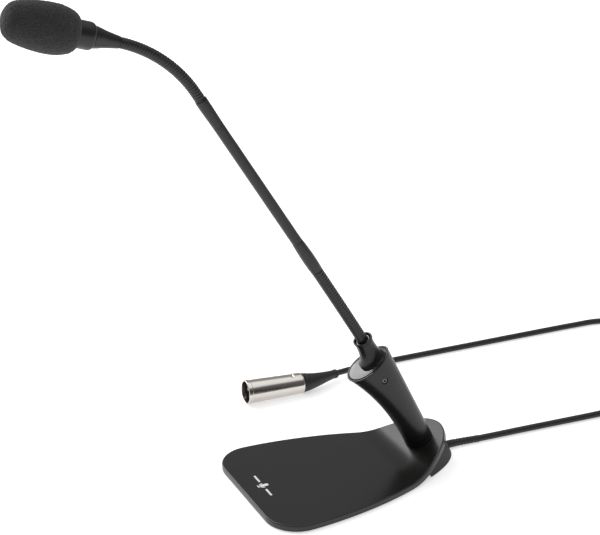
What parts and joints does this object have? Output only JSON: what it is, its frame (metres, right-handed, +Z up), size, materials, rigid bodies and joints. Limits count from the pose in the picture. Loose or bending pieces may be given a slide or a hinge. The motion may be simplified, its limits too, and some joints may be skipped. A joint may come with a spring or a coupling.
{
  "type": "desktop gooseneck microphone",
  "caption": "Gooseneck microphone with foam windscreen on a weighted trapezoid desk base, leaning column, attached cable with a male connector.",
  "frame": {"origin": "on the table under the middle of the base's footprint, on the underside of the rubber pad", "axes": "+Z up, -Y towards the talker (the base's wide end and the windscreen), +Y towards the cable end, +X to the right seen from the talker's back"},
  "size_m": [0.2031, 0.5799, 0.3598],
  "materials": {
    "base_steel": "satin black powder coat",
    "base_rubber": "matt",
    "housing_plastic": "matt dark grey",
    "cord_rubber": "matt black jacket",
    "column_plastic": "satin black",
    "gloss_plastic": "gloss black",
    "black_screw": "blackened",
    "insert_plastic": "matt black",
    "flex_cover": "ribbed black sleeve",
    "neck_paint": "satin black",
    "nickel": "satin nickel plate",
    "contact": "plated contacts",
    "capsule_metal": "satin",
    "grille_mesh": "fine mesh",
    "foam": "open-cell foam"
  },
  "bodies": {
    "base": {"base_plate": "base_steel", "rubber_pad": "base_rubber", "cable_housing": "housing_plastic", "cable_bushing": "cord_rubber", "column": "column_plastic", "column_cap": "gloss_plastic", "socket_insert": "insert_plastic", "cable_out": "cord_rubber", "cable_coil": "cord_rubber", "coil_tie": "base_rubber", "cable_back": "cord_rubber", "plug_boot": "cord_rubber", "plug_shell": "nickel", "plug_insert": "insert_plastic", "plug_pin_1": "contact", "plug_pin_2": "contact", "plug_pin_3": "contact"},
    "screw": {"locking_screw": "black_screw"},
    "neck_foot": {"collar": "gloss_plastic", "collar_ring": "nickel", "neck_plug_shell": "nickel", "neck_plug_insert": "insert_plastic", "neck_pin_1": "contact", "neck_pin_2": "contact", "neck_pin_3": "contact", "lower_flex_base": "flex_cover"},
    "lower_bend": {"lower_flex_middle": "flex_cover"},
    "stem": {"lower_flex_top": "flex_cover", "lower_ferrule": "neck_paint", "neck_tube": "neck_paint", "upper_ferrule": "neck_paint", "upper_flex_base": "flex_cover"},
    "upper_bend": {"upper_flex_middle": "flex_cover"},
    "head": {"upper_flex_top": "flex_cover", "head_cone": "neck_paint", "capsule_housing": "neck_paint", "mic_capsule": "capsule_metal", "capsule_grille": "grille_mesh"},
    "windscreen": {"foam_windscreen": "foam"}
  },
  "joints": [
    {"name": "locking_screw_turn", "type": "hinge", "parent": "base", "child": "screw", "pos_m": [0.0095, 0.0204, 0.0736], "axis": [1, 0, 0], "range_deg": [0, 360]},
    {"name": "neck_unplug", "type": "slide", "parent": "base", "child": "neck_foot", "axis": [0, -0.4384, 0.8988], "range_m": [0, 0.03]},
    {"name": "lower_flex_nod", "type": "hinge", "parent": "neck_foot", "child": "lower_bend", "pos_m": [0, -0.00429, 0.12399], "axis": [1, 0, 0], "range_deg": [-60, 30], "deforming": ["lower_flex_base", "lower_flex_middle"]},
    {"name": "lower_flex_sway", "type": "hinge", "parent": "lower_bend", "child": "stem", "pos_m": [0, -0.01475, 0.14104], "axis": [0, 0.8505, 0.5259], "range_deg": [-45, 45], "deforming": ["lower_flex_middle", "lower_flex_top"]},
    {"name": "upper_flex_nod", "type": "hinge", "parent": "stem", "child": "upper_bend", "pos_m": [0, -0.12155, 0.30737], "axis": [1, 0, 0], "range_deg": [-70, 40], "deforming": ["upper_flex_base", "upper_flex_middle"]},
    {"name": "upper_flex_sway", "type": "hinge", "parent": "upper_bend", "child": "head", "pos_m": [0, -0.13709, 0.31988], "axis": [0, 0.5336, 0.8458], "range_deg": [-55, 55], "deforming": ["upper_flex_middle", "upper_flex_top"]},
    {"name": "windscreen_pull", "type": "slide", "parent": "head", "child": "windscreen", "axis": [0, -0.9539, 0.3], "range_m": [0, 0.045]}
  ]
}
